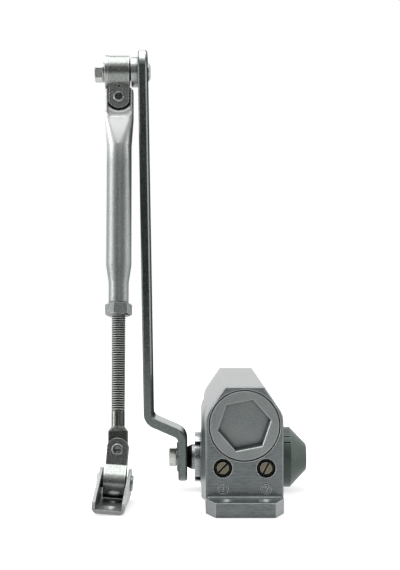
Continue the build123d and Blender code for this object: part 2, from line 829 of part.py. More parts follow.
# Gland nuts with what they hold: a bush and a shaft seal, a rubber ring and a thrust washer
gland_thread_radius = cross_bore_radius - thread_fit
gland_ring_end = gland_seat - gland_ring_inset
gland_ring_start = gland_ring_end - gland_ring_width
gland_floor = gland_face - gland_lip
held_radius = gland_bore_radius - seat_gap
shaft_bore = journal_radius + running_fit
bush_start = gland_inner_end + thrust_gap
bush_end = bush_start + bush_length
seal_start = bush_end + thrust_gap
seal_middle = (shaft_bore + held_radius) / 2
for side, way in (("left", -1), ("right", 1)):
    with BuildPart() as gland_nut:
        turn(spindle_turning, [
            (way * gland_inner_end, gland_bore_radius),
            (way * gland_inner_end, gland_thread_radius),
            (way * gland_ring_start, gland_thread_radius),
            (way * gland_ring_start, gland_thread_radius - gland_ring_depth),
            (way * gland_ring_end, gland_thread_radius - gland_ring_depth),
            (way * gland_ring_end, gland_thread_radius),
            (way * flange_start, gland_thread_radius),
            (way * flange_start, gland_flange_radius),
            (way * gland_face, gland_flange_radius),
            (way * gland_face, shaft_bore + running_fit),
            (way * gland_floor, shaft_bore + running_fit),
            (way * gland_floor, gland_bore_radius),
        ])
        with BuildSketch(spindle_plane.offset(way * gland_seat)):
            with PolarLocations(gland_flange_radius, 4, start_angle=180 - spanner_slot_turn):
                Rectangle(2 * spanner_slot_depth, spanner_slot_width)
        extrude(amount=way * gland_flange_width, mode=Mode.SUBTRACT)
    gland_nut.part.label = "gland_nut_" + side
    export_step(gland_nut.part, "parts/gland_nut_" + side + ".step")

    with BuildPart() as spindle_bush:
        turn_ring(spindle_turning, way * bush_start, way * bush_end, shaft_bore, held_radius)
    spindle_bush.part.label = "spindle_bush_" + side
    export_step(spindle_bush.part, "parts/spindle_bush_" + side + ".step")

    with BuildPart() as shaft_seal:
        turn(spindle_turning, [
            (way * seal_start, shaft_bore),
            (way * seal_start, seal_middle - seal_cup_width / 2),
            (way * (seal_start + seal_cup_depth), seal_middle),
            (way * seal_start, seal_middle + seal_cup_width / 2),
            (way * seal_start, held_radius),
            (way * (gland_floor - thrust_gap), held_radius),
            (way * (gland_floor - thrust_gap), shaft_bore),
        ])
    shaft_seal.part.label = "shaft_seal_" + side
    export_step(shaft_seal.part, "parts/shaft_seal_" + side + ".step")

    with BuildPart() as gland_ring:
        seal_ring(
            spindle_turning,
            way * (gland_ring_start + gland_ring_end) / 2,
            gland_thread_radius - gland_ring_depth,
            cross_bore_radius,
        )
    gland_ring.part.label = "gland_ring_" + side
    export_step(gland_ring.part, "parts/gland_ring_" + side + ".step")

    with BuildPart() as thrust_washer:
        turn_ring(
            spindle_turning,
            way * (pinion_width / 2 + thrust_gap),
            way * (gland_inner_end - thrust_gap),
            shaft_bore,
            thrust_washer_radius,
        )
    thrust_washer.part.label = "thrust_washer_" + side
    export_step(thrust_washer.part, "parts/thrust_washer_" + side + ".step")

# Dust seal on the neck of the spindle, against the arm
with BuildPart() as dust_seal:
    turn(spindle_turning, [
        (-neck_start - seat_gap, neck_radius + seat_gap),
        (-neck_start - seat_gap, journal_radius),
        (-arm_inner_face + seat_gap, dust_seal_tip_radius),
        (-arm_inner_face + seat_gap, neck_radius + seat_gap),
    ])
dust_seal.part.label = "dust_seal"
export_step(dust_seal.part, "parts/dust_seal.step")

# Cap that snaps over the right gland nut and the spare square
cap_base = gland_seat + seat_gap
cap_shoulder = cap_base + cap_skirt_length
cap_end = cap_base + cap_height
cap_cone = (cap_radius - cap_tip_radius) / (cap_end - cap_tip_edge - cap_shoulder)
cap_inner_shift = cap_wall * sqrt(1 + cap_cone**2)
cap_bore = gland_flange_radius + cap_fit
cap_inner_shoulder = cap_shoulder + (cap_radius - cap_inner_shift - cap_bore) / cap_cone
cap_inner_tip = cap_radius - cap_inner_shift - cap_cone * (cap_end - cap_wall - cap_shoulder)
cap_slit_angles = [angle for turned in cap_slit_turns for angle in (turned, 180 - turned)]
with BuildPart() as spindle_cap:
    turn(spindle_turning, [
        (cap_base, cap_bore),
        (cap_base, cap_radius),
        (cap_shoulder, cap_radius),
        (cap_end - cap_tip_edge, cap_tip_radius),
        (cap_end, cap_tip_radius - cap_tip_edge),
        (cap_end, 0),
        (cap_end - cap_wall, 0),
        (cap_end - cap_wall, cap_inner_tip),
        (cap_inner_shoulder, cap_bore),
    ])
    with BuildSketch(spindle_plane.offset(cap_base)):
        for angle in cap_slit_angles:
            with PolarLocations(cap_radius, 1, start_angle=angle):
                Rectangle(2 * (cap_radius - gland_flange_radius), cap_slit_width)
    extrude(amount=cap_skirt_length, mode=Mode.SUBTRACT)
spindle_cap.part.label = "spindle_cap"
export_step(spindle_cap.part, "parts/spindle_cap.step")

# Valve screws in their bores, each with a rubber ring and a black ring round its head
head_start = -half_length + valve_head_inset
thread_start = head_start + valve_head_length
stem_start = thread_start + valve_thread_length
stem_end = stem_start + valve_stem_length
valve_groove_start = stem_start + valve_groove_inset
valve_groove_end = valve_groove_start + valve_groove_width
valve_groove_radius = valve_stem_radius - valve_groove_depth
needle_end = stem_end + valve_needle_length
for number, way, slot_turn in ((1, -1, valve_slot_turns[0]), (2, 1, valve_slot_turns[1])):
    valve_turning = Plane(
        origin=(way * valve_spacing / 2, 0, valve_height), x_dir=(0, 1, 0), z_dir=(1, 0, 0)
    )
    with BuildPart() as valve_screw:
        turn(valve_turning, [
            (head_start, 0),
            (head_start, valve_head_radius),
            (thread_start, valve_head_radius),
            (thread_start, valve_thread_radius),
            (stem_start, valve_thread_radius),
            (stem_start, valve_stem_radius),
            (valve_groove_start, valve_stem_radius),
            (valve_groove_start, valve_groove_radius),
            (valve_groove_end, valve_groove_radius),
            (valve_groove_end, valve_stem_radius),
            (stem_end, valve_stem_radius),
            (stem_end, valve_needle_radius),
            (needle_end, valve_needle_radius),
            (needle_end + valve_tip_length, 0),
        ])
        with BuildSketch(Plane.XZ.offset(-head_start)):
            with Locations((way * valve_spacing / 2, valve_height)):
                Rectangle(3 * valve_head_radius, valve_slot_width, rotation=slot_turn)
        extrude(amount=-valve_slot_depth, mode=Mode.SUBTRACT)
    valve_screw.part.label = f"valve_screw_{number}"
    export_step(valve_screw.part, f"parts/valve_screw_{number}.step")

    with BuildPart() as valve_seal:
        seal_ring(
            valve_turning,
            (valve_groove_start + valve_groove_end) / 2,
            valve_groove_radius,
            valve_bore_radius - seal_squeeze_gap,
        )
    valve_seal.part.label = f"valve_seal_{number}"
    export_step(valve_seal.part, f"parts/valve_seal_{number}.step")

    with BuildPart() as valve_ring:
        turn_ring(
            valve_turning,
            -half_length + valve_ring_inset,
            -half_length + valve_ring_inset + valve_ring_width,
            valve_ring_inner_radius,
            valve_ring_radius,
        )
    valve_ring.part.label = f"valve_ring_{number}"
    export_step(valve_ring.part, f"parts/valve_ring_{number}.step")

# Main arm, cranked to the left above the spindle, with a stud at its upper end
crank_low = (-arm_plane, spindle_height + crank_low_height)
crank_high = (-arm_plane - crank_offset, spindle_height + crank_high_height)
upper_run = (elbow_offset - crank_offset) / (elbow_height - crank_high[1])
arm_rise = arm_elbow_radius + arm_spare
arm_top = (elbow_x - arm_rise * upper_run, elbow_height + arm_rise)
arm_foot = (-arm_plane, spindle_height - arm_spindle_radius - arm_spare)
with BuildPart() as main_arm:
    with BuildLine(Plane.XZ) as arm_line:
        FilletPolyline(arm_foot, crank_low, crank_high, arm_top, radius=crank_bend_radius)
    with BuildSketch(Plane.XY.offset(arm_foot[1])):
        with Locations((arm_foot[0], 0)):
            Rectangle(arm_thickness, 2 * arm_spindle_radius)
    sweep(path=arm_line.line)
    with BuildSketch(Plane.YZ):
        with Locations((0, spindle_height)):
            Circle(arm_spindle_radius)
        with Locations((0, elbow_height)):
            Circle(arm_elbow_radius)
        with BuildLine():
            Polyline(
                (-arm_spindle_radius, spindle_height),
                (-arm_elbow_radius, elbow_height),
                (arm_elbow_radius, elbow_height),
                (arm_spindle_radius, spindle_height),
                close=True,
            )
        make_face()
    extrude(amount=2 * elbow_x, mode=Mode.INTERSECT)
    arm_edges = main_arm.edges().filter_by(Axis.Y, reverse=True).filter_by(Axis.X, reverse=True)
    chamfer(arm_edges, length=arm_edge)
    with BuildSketch(spindle_plane.offset(-arm_inner_face)):
        Circle(neck_radius + seat_gap)
        Rectangle(square_size + 2 * seat_gap, square_size + 2 * seat_gap, mode=Mode.INTERSECT)
    extrude(amount=-arm_thickness, mode=Mode.SUBTRACT)
    with BuildSketch(Plane.YZ.offset(elbow_x + arm_thickness)):
        with Locations((0, elbow_height)):
            Circle(stud_shank_radius + seat_gap)
    extrude(amount=-2 * arm_thickness, mode=Mode.SUBTRACT)
main_arm.part.label = "main_arm"
export_step(main_arm.part, "parts/main_arm.step")

arm_washer_start = arm_outer_face + seat_gap
arm_washer_end = arm_washer_start + arm_washer_thickness
with BuildPart() as arm_washer:
    turn_ring(
        spindle_turning, -arm_washer_start, -arm_washer_end, washer_hole_radius, arm_washer_radius
    )
arm_washer.part.label = "arm_washer"
export_step(arm_washer.part, "parts/arm_washer.step")

arm_bolt_face = arm_washer_end + seat_gap
arm_bolt_start = stub_end - arm_bolt_depth + arm_bolt_end_gap
with BuildPart() as arm_bolt:
    left_of_spindle = Plane(
        origin=(-arm_bolt_face - bolt_collar, 0, spindle_height), x_dir=(0, -1, 0), z_dir=(-1, 0, 0)
    )
    hex_head(left_of_spindle, bolt_size, bolt_head_height, 0, bolt_head_edge)
    turn(spindle_turning, [
        (-arm_bolt_face - bolt_collar, 0),
        (-arm_bolt_face - bolt_collar, bolt_size / 2),
        (-arm_bolt_face, bolt_size / 2),
        (-arm_bolt_face, bolt_radius),
        (-arm_bolt_start, bolt_radius),
        (-arm_bolt_start, 0),
    ])
arm_bolt.part.label = "arm_bolt"
export_step(arm_bolt.part, "parts/arm_bolt.step")

# Elbow: stud, strap, bush, washers and bolt
head_face = elbow_x + arm_thickness / 2 + stud_face_gap
head_end = head_face + stud_head_height
with BuildPart() as elbow_stud:
    turn(elbow_turning, [
        (journal_end, bolt_hole_radius),
        (journal_end, stud_journal_radius),
        (collar_left, stud_journal_radius),
        (collar_left, stud_collar_radius),
        (collar_right, stud_collar_radius),
        (collar_right, stud_shank_radius),
        (head_face, stud_shank_radius),
        (head_face, stud_head_radius),
        ((head_face + head_end) / 2, stud_head_radius),
        (head_end, stud_crown_radius),
        (head_end, 0),
        (journal_end + stud_hole_depth, 0),
        (journal_end + stud_hole_depth, bolt_hole_radius),
    ])
elbow_stud.part.label = "elbow_stud"
export_step(elbow_stud.part, "parts/elbow_stud.step")

elbow_washer_start = journal_end - seat_gap
elbow_washer_end = elbow_washer_start - elbow_washer_thickness
with BuildPart() as elbow_washer:
    turn_ring(
        elbow_turning, elbow_washer_start, elbow_washer_end, washer_hole_radius, elbow_washer_radius
    )
elbow_washer.part.label = "elbow_washer"
export_step(elbow_washer.part, "parts/elbow_washer.step")

spring_washer_start = elbow_washer_end - seat_gap
spring_washer_end = spring_washer_start - spring_washer_thickness
with BuildPart() as spring_washer:
    turn_ring(
        elbow_turning, spring_washer_start, spring_washer_end, washer_hole_radius, spring_washer_radius
    )
    with BuildSketch(Plane.YZ.offset(spring_washer_start)):
        with Locations((0, elbow_height - spring_washer_radius / 2)):
            Rectangle(spring_washer_cut, 1.5 * spring_washer_radius)
    extrude(amount=-spring_washer_thickness, mode=Mode.SUBTRACT)
spring_washer.part.label = "spring_washer"
export_step(spring_washer.part, "parts/spring_washer.step")

elbow_bolt_face = spring_washer_end - seat_gap
with BuildPart() as elbow_bolt:
    left_of_elbow = Plane(
        origin=(elbow_bolt_face, 0, elbow_height), x_dir=(0, -1, 0), z_dir=(-1, 0, 0)
    )
    hex_head(left_of_elbow, bolt_size, elbow_bolt_head_height, elbow_bolt_turn, bolt_head_edge)
    turn(elbow_turning, [
        (elbow_bolt_face, 0),
        (elbow_bolt_face, bolt_radius),
        (elbow_bolt_face + elbow_bolt_length, bolt_radius),
        (elbow_bolt_face + elbow_bolt_length, 0),
    ])
elbow_bolt.part.label = "elbow_bolt"
export_step(elbow_bolt.part, "parts/elbow_bolt.step")

with BuildPart() as elbow_bush:
    turn_ring(
        elbow_turning,
        strap_left,
        strap_right,
        stud_journal_radius + running_fit,
        elbow_loop_radius - elbow_strap_thickness - seat_gap,
    )
elbow_bush.part.label = "elbow_bush"
export_step(elbow_bush.part, "parts/elbow_bush.step")


def strap_blank(plane, width, radius, thickness, crease, neck, tab):
    """Strap bent round a loop at the plane's origin, with both tabs along the plane's y axis."""
    outer_x = sqrt(radius**2 - crease**2)
    tab_x = tab_half_gap + thickness
    lean = (outer_x - tab_x) / (neck - crease)
    inner_x = outer_x - thickness * sqrt(1 + lean**2)
    inner_neck = crease + (inner_x - tab_half_gap) / lean
    with BuildSketch(plane) as section:
        Circle(radius)
        with BuildLine():
            Polyline(
                (-outer_x, crease),
                (-tab_x, neck),
                (-tab_x, tab),
                (tab_x, tab),
                (tab_x, neck),
                (outer_x, crease),
                close=True,
            )
        make_face()
        Circle(radius - thickness, mode=Mode.SUBTRACT)
        with BuildLine():
            Polyline(
                (-inner_x, 0),
                (-inner_x, crease),
                (-tab_half_gap, inner_neck),
                (-tab_half_gap, tab),
                (tab_half_gap, tab),
                (tab_half_gap, inner_neck),
                (inner_x, crease),
                (inner_x, 0),
                close=True,
            )
        make_face(mode=Mode.SUBTRACT)
    extrude(section.sketch, amount=width / 2, both=True)


elbow_side = Plane(origin=elbow_plane.origin, x_dir=elbow_plane.z_dir, z_dir=elbow_plane.x_dir)
foot_side = Plane(
    origin=foot_pin_point, x_dir=elbow_plane.z_dir, z_dir=-foot_strap_plane.x_dir
)
rivet_hole_radius = rivet_radius + seal_squeeze_gap
with BuildPart() as elbow_strap:
    strap_blank(
        elbow_side,
        elbow_strap_width,
        elbow_loop_radius,
        elbow_strap_thickness,
        elbow_crease_drop,
        elbow_neck_drop,
        elbow_rivet_drop + elbow_tab_radius,
    )
    with BuildSketch(elbow_plane):
        with Locations((0, -elbow_rivet_drop)):
            Circle(elbow_tab_radius)
        with Locations((0, (elbow_loop_radius - elbow_rivet_drop) / 2)):
            Rectangle(elbow_strap_width, elbow_rivet_drop + elbow_loop_radius)
    extrude(amount=elbow_loop_radius, both=True, mode=Mode.INTERSECT)
    with BuildSketch(elbow_plane):
        with Locations((0, -elbow_rivet_drop)):
            Circle(rivet_hole_radius)
    extrude(amount=elbow_loop_radius, both=True, mode=Mode.SUBTRACT)
    with BuildSketch(elbow_plane):
        with Locations((0, -strap_slot_drop)):
            Rectangle(strap_slot_width, strap_slot_height)
    extrude(amount=elbow_loop_radius, mode=Mode.SUBTRACT)
elbow_strap.part.label = "elbow_strap"
export_step(elbow_strap.part, "parts/elbow_strap.step")

with BuildPart() as foot_strap:
    strap_blank(
        foot_side,
        foot_strap_width,
        foot_loop_radius,
        foot_strap_thickness,
        foot_crease_drop,
        foot_neck_drop,
        foot_rivet_rise + foot_tab_radius,
    )
    with BuildSketch(foot_strap_plane):
        Circle(foot_tab_radius)
        with Locations((0, (foot_shoulder - foot_rivet_rise - foot_loop_radius) / 2)):
            Rectangle(foot_strap_width, foot_shoulder + foot_rivet_rise + foot_loop_radius)
    extrude(amount=foot_loop_radius, both=True, mode=Mode.INTERSECT)
    with BuildSketch(foot_strap_plane):
        Circle(rivet_hole_radius)
    extrude(amount=foot_loop_radius, both=True, mode=Mode.SUBTRACT)
foot_strap.part.label = "foot_strap"
export_step(foot_strap.part, "parts/foot_strap.step")


def hollow_rivet(plane, grip):
    """Rivet along the plane's z axis, drilled from both ends, with a rolled head at each."""
    face = grip / 2 + seal_squeeze_gap
    end = face + rivet_head_height
    turning = Plane(origin=plane.origin, x_dir=plane.z_dir, z_dir=plane.x_dir)
    half = [
        (face, rivet_radius),
        (face, rivet_head_radius),
        (end - rivet_round, rivet_head_radius),
        (end, rivet_head_radius - rivet_round),
        (end, rivet_bore_radius + rivet_round / 2),
        (end - rivet_round, rivet_bore_radius),
        (rivet_web / 2 + rivet_drill_point, rivet_bore_radius),
        (rivet_web / 2, 0),
    ]
    turn(turning, half + [(-along, radius) for along, radius in reversed(half)])


with BuildPart() as elbow_rivet:
    hollow_rivet(forearm_plane, 2 * (tab_half_gap + elbow_strap_thickness))
elbow_rivet.part.label = "elbow_rivet"
export_step(elbow_rivet.part, "parts/elbow_rivet.step")

with BuildPart() as foot_rivet:
    hollow_rivet(foot_strap_plane, 2 * (tab_half_gap + foot_strap_thickness))
foot_rivet.part.label = "foot_rivet"
export_step(foot_rivet.part, "parts/foot_rivet.step")

# Forearm tube: pressed flat at the elbow, round along its length, swaged at the lower end
plate_half = tab_half_gap - plate_gap
fork_top = elbow_rivet_drop - tube_top
fork_end = elbow_rivet_drop - tube_flat_end
press_end = elbow_rivet_drop - fork_press_end
along_forearm = Axis(forearm_plane.origin, forearm_plane.y_dir)
with BuildPart() as forearm_tube:
    with BuildSketch(forearm_plane):
        with BuildLine():
            Polyline(
                (-fork_width / 2, fork_end),
                (-fork_width / 2, fork_top - fork_top_corner),
                (-fork_width / 2 + fork_top_corner, fork_top),
                (fork_width / 2 - fork_top_corner, fork_top),
                (fork_width / 2, fork_top - fork_top_corner),
                (fork_width / 2, fork_end),
                close=True,
            )
        make_face()
    extrude(amount=fork_depth / 2, both=True)
    fillet(forearm_tube.edges().filter_by(along_forearm), radius=fork_corner)
    with BuildSketch(forearm_section(tube_flat_end)):
        RectangleRounded(fork_width, fork_depth, fork_corner)
    with BuildSketch(forearm_section(tube_round_start)):
        RectangleRounded(2 * tube_radius, 2 * tube_radius, tube_radius - round_remainder)
    loft()
    tube_turning = Plane(
        origin=forearm_section(0).origin, x_dir=-forearm_plane.y_dir, z_dir=forearm_plane.x_dir
    )
    turn(tube_turning, [
        (tube_round_start, 0),
        (tube_round_start, tube_radius),
        (tube_neck_start, tube_radius),
        (tube_neck_end, tube_neck_radius),
        (tube_end, tube_neck_radius),
        (tube_end, 0),
    ])
    turn(tube_turning, [
        (tube_round_start, 0),
        (tube_round_start, tube_bore_radius),
        (tube_neck_start, tube_bore_radius),
        (tube_neck_start + tube_bore_radius - thread_radius, thread_radius + running_fit),
        (tube_end, thread_radius + running_fit),
        (tube_end, 0),
    ], mode=Mode.SUBTRACT)
    for way in (-1, 1):
        with BuildSketch(forearm_plane.offset(way * plate_half)):
            Circle(fork_slot_radius)
            Rectangle(fork_slot_width, 2 * fork_slot_radius, mode=Mode.INTERSECT)
            with Locations((0, fork_top)):
                Rectangle(fork_slot_width, 2 * fork_top)
        extrude(amount=way * fork_depth, mode=Mode.SUBTRACT)
        # Deeper groove round the end of the strap's tab
        with BuildSketch(forearm_plane.offset(way * fork_groove_floor)):
            Circle(fork_slot_radius)
            Rectangle(
                fork_slot_width,
                fork_slot_radius,
                align=(Align.CENTER, Align.MAX),
                mode=Mode.INTERSECT,
            )
            Circle(elbow_tab_radius, mode=Mode.SUBTRACT)
        extrude(amount=way * fork_depth, mode=Mode.SUBTRACT)
        with BuildSketch(forearm_plane.offset(way * (fork_depth / 2 - fork_press_depth))):
            with BuildLine():
                Polyline(
                    (-fork_press_width / 2, 2 * fork_top),
                    (-fork_press_width / 2, press_end + fork_press_corner),
                    (-fork_press_width / 2 + fork_press_corner, press_end),
                    (fork_press_width / 2 - fork_press_corner, press_end),
                    (fork_press_width / 2, press_end + fork_press_corner),
                    (fork_press_width / 2, 2 * fork_top),
                    close=True,
                )
            make_face()
        extrude(amount=way * fork_depth, mode=Mode.SUBTRACT)
    with BuildSketch(forearm_plane):
        Circle(rivet_radius + rivet_play)
    extrude(amount=fork_depth, both=True, mode=Mode.SUBTRACT)
forearm_tube.part.label = "forearm_tube"
export_step(forearm_tube.part, "parts/forearm_tube.step")

# Threaded rod with a flattened lower end, and the lock nut on it
ridges = int((thread_end - rod_top) / thread_pitch)
rod_outline = [(rod_top, 0), (rod_top, thread_root_radius)]
for ridge in range(ridges):
    crest = rod_top + (ridge + 0.5) * thread_pitch
    rod_outline += [(crest, thread_radius), (crest + thread_pitch / 2, thread_root_radius)]
rod_outline += [(thread_end, rod_shank_radius), (rod_shank_end, rod_shank_radius)]
rod_outline += [(rod_shank_end, 0)]
rod_flat_top = elbow_rivet_drop - rod_flat_start
rod_rivet = elbow_rivet_drop - lower_rivet_drop
with BuildPart() as threaded_rod:
    turn(tube_turning, rod_outline)
    with BuildSketch(forearm_section(rod_shank_end)):
        RectangleRounded(
            2 * rod_shank_radius, 2 * rod_shank_radius, rod_shank_radius - round_remainder
        )
    with BuildSketch(forearm_section(rod_flat_start)):
        RectangleRounded(rod_flat_width, rod_flat_thickness, rod_flat_corner)
    loft()
    with BuildSketch(forearm_section(rod_flat_start)):
        RectangleRounded(rod_flat_width, rod_flat_thickness, rod_flat_corner)
    extrude(amount=rod_rivet - rod_end_radius - rod_flat_top)
    with BuildSketch(forearm_plane):
        with Locations((0, rod_rivet)):
            Circle(rod_end_radius)
        with Locations((0, rod_rivet / 2)):
            Rectangle(2 * rod_flat_width, -rod_rivet)
    extrude(amount=2 * thread_radius, both=True, mode=Mode.INTERSECT)
    with BuildSketch(forearm_plane):
        with Locations((0, rod_rivet)):
            Circle(rivet_radius + rivet_play)
    extrude(amount=rod_flat_thickness, both=True, mode=Mode.SUBTRACT)
threaded_rod.part.label = "threaded_rod"
export_step(threaded_rod.part, "parts/threaded_rod.step")

with BuildPart() as lock_nut:
    nut_plane = Plane(
        origin=forearm_section(tube_end + seat_gap).origin,
        x_dir=forearm_plane.z_dir,
        z_dir=-forearm_plane.y_dir,
    )
    hex_head(nut_plane, nut_size, nut_height, nut_turn, nut_edge, both_ends=True)
    with BuildSketch(nut_plane):
        Circle(thread_radius + running_fit)
    extrude(amount=nut_height, mode=Mode.SUBTRACT)
lock_nut.part.label = "lock_nut"
export_step(lock_nut.part, "parts/lock_nut.step")

# Foot: bush, bracket and pin
foot_side_turning = Plane(
    origin=foot_pin_point, x_dir=foot_strap_plane.x_dir, z_dir=foot_strap_plane.z_dir
)
with BuildPart() as foot_bush:
    turn_ring(
        foot_side_turning,
        -foot_strap_width / 2,
        foot_strap_width / 2,
        foot_pin_radius + running_fit,
        foot_loop_radius - foot_strap_thickness - seat_gap,
    )
foot_bush.part.label = "foot_bush"
export_step(foot_bush.part, "parts/foot_bush.step")

bracket_inner = bracket_width / 2 - bracket_wall
bracket_hole_places = [
    bracket_floor * Location((along - bracket_front_reach, 0, 0))
    for along in (bracket_hole_inset, bracket_hole_inset + bracket_hole_spacing)
]
with BuildPart() as foot_bracket:
    with BuildSketch(bracket_plane):
        Circle(bracket_ear_radius)
        with Locations((0, -foot_pin_height)):
            with Locations((-bracket_front_reach, 0)):
                Rectangle(
                    bracket_ear_radius, bracket_front_height, align=(Align.MIN, Align.MIN)
                )
            with Locations((bracket_rear_reach, 0)):
                Rectangle(bracket_wall, bracket_rear_height, align=(Align.MAX, Align.MIN))
        make_hull()
    extrude(amount=bracket_width / 2, both=True)
    long_edges = foot_bracket.edges().filter_by(Axis(foot_pin_point, bracket_along))
    bottom_edges = long_edges.group_by(Axis(foot_pin_point, bracket_plane.y_dir))[0]
    fillet(bottom_edges, radius=bracket_corner)
    with BuildSketch(bracket_plane.offset(-bracket_inner)):
        with Locations((0, bracket_base - foot_pin_height)):
            Rectangle(
                2 * bracket_front_reach + bracket_ear_radius,
                2 * foot_pin_height,
                align=(Align.CENTER, Align.MIN),
            )
    extrude(amount=2 * bracket_inner, mode=Mode.SUBTRACT)
    with BuildSketch(bracket_plane):
        Circle(foot_pin_radius + seal_squeeze_gap)
    extrude(amount=bracket_width, both=True, mode=Mode.SUBTRACT)
    with Locations(*bracket_hole_places):
        CounterSinkHole(bracket_hole_radius, bracket_sink_radius, depth=bracket_base)
foot_bracket.part.label = "foot_bracket"
export_step(foot_bracket.part, "parts/foot_bracket.step")

pin_face = bracket_width / 2 + seal_squeeze_gap
pin_end = pin_face + foot_pin_head_height
with BuildPart() as bracket_pin:
    pin_half = [
        (pin_face, foot_pin_radius),
        (pin_face, foot_pin_head_radius),
        (pin_end - rivet_round, foot_pin_head_radius),
        (pin_end, foot_pin_head_radius - rivet_round),
    ]
    pin_other = [(-along, radius) for along, radius in reversed(pin_half)]
    turn(foot_side_turning, [(-pin_end, 0), (pin_end, 0)] + pin_half[::-1] + pin_other[::-1])
bracket_pin.part.label = "bracket_pin"
export_step(bracket_pin.part, "parts/bracket_pin.step")
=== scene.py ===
from math import radians

import bpy
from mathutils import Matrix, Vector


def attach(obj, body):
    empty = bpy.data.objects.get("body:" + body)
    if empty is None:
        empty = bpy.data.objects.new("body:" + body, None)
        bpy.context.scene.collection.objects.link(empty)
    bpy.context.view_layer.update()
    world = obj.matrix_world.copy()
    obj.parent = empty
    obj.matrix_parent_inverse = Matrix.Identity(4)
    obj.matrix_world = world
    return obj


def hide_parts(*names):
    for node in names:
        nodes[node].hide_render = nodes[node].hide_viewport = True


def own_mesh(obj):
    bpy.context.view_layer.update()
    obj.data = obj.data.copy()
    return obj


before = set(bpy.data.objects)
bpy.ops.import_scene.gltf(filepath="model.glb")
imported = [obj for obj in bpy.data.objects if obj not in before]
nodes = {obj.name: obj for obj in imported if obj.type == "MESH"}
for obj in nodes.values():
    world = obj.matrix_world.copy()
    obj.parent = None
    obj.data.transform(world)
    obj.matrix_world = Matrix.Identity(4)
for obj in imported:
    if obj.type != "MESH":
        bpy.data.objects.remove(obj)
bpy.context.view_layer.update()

# Lengths are in metres, in the frame of the CAD: X runs along the spindle, Y along the body
# and away from the camera, and Z up from the mounting face

white = (1.0, 1.0, 1.0, 1.0)
corner_samples = 8
edge_samples = 6


def colour(code):
    """Linear colour of a six-digit sRGB code."""
    parts = [int(code[i:i + 2], 16) / 255 for i in (0, 2, 4)]
    linear = [c / 12.92 if c <= 0.04045 else ((c + 0.055) / 1.055) ** 2.4 for c in parts]
    return (*linear, 1.0)


def add(tree, kind, sockets=(), **settings):
    """New shader node with its settings and the values of its input sockets."""
    made = tree.nodes.new(kind)
    for key, value in settings.items():
        setattr(made, key, value)
    for key, value in dict(sockets).items():
        made.inputs[key].default_value = value
    return made


def step_between(tree, value, low, high, least=0.0, most=1.0, smooth=False):
    """Number that goes from least, where the value is low, to most, where it is high."""
    step = add(
        tree,
        "ShaderNodeMapRange",
        {"From Min": low, "From Max": high, "To Min": least, "To Max": most},
        interpolation_type="SMOOTHSTEP" if smooth else "LINEAR",
    )
    tree.links.new(value, step.inputs["Value"])
    return step.outputs["Result"]


def calculate(tree, operation, first, second):
    """Math on an output and either a second output or a plain number."""
    math_node = add(tree, "ShaderNodeMath", operation=operation)
    tree.links.new(first, math_node.inputs[0])
    if isinstance(second, float):
        math_node.inputs[1].default_value = second
    else:
        tree.links.new(second, math_node.inputs[1])
    return math_node.outputs["Value"]


def mix_numbers(tree, share, first, second):
    """Number between two outputs, by a share that is an output too."""
    mixer = add(tree, "ShaderNodeMix", data_type="FLOAT")
    tree.links.new(share, mixer.inputs[0])
    tree.links.new(first, mixer.inputs[2])
    tree.links.new(second, mixer.inputs[3])
    return mixer.outputs[0]


def paint_over(tree, share, paint, code):
    """Colour output with a plain colour laid over it, by a share."""
    mixer = add(tree, "ShaderNodeMix", data_type="RGBA")
    mixer.inputs[7].default_value = colour(code)
    tree.links.new(share, mixer.inputs[0])
    tree.links.new(paint, mixer.inputs[6])
    return mixer.outputs[2]


def mix_shaders(tree, share, first, second):
    """Shader between two others, by a share."""
    mixer = add(tree, "ShaderNodeMixShader")
    tree.links.new(share, mixer.inputs["Fac"])
    tree.links.new(first, mixer.inputs[1])
    tree.links.new(second, mixer.inputs[2])
    return mixer.outputs["Shader"]


def split_axes(tree, vector):
    """The three parts of a vector, by the names X, Y and Z."""
    splitter = add(tree, "ShaderNodeSeparateXYZ")
    tree.links.new(vector, splitter.inputs["Vector"])
    return splitter.outputs


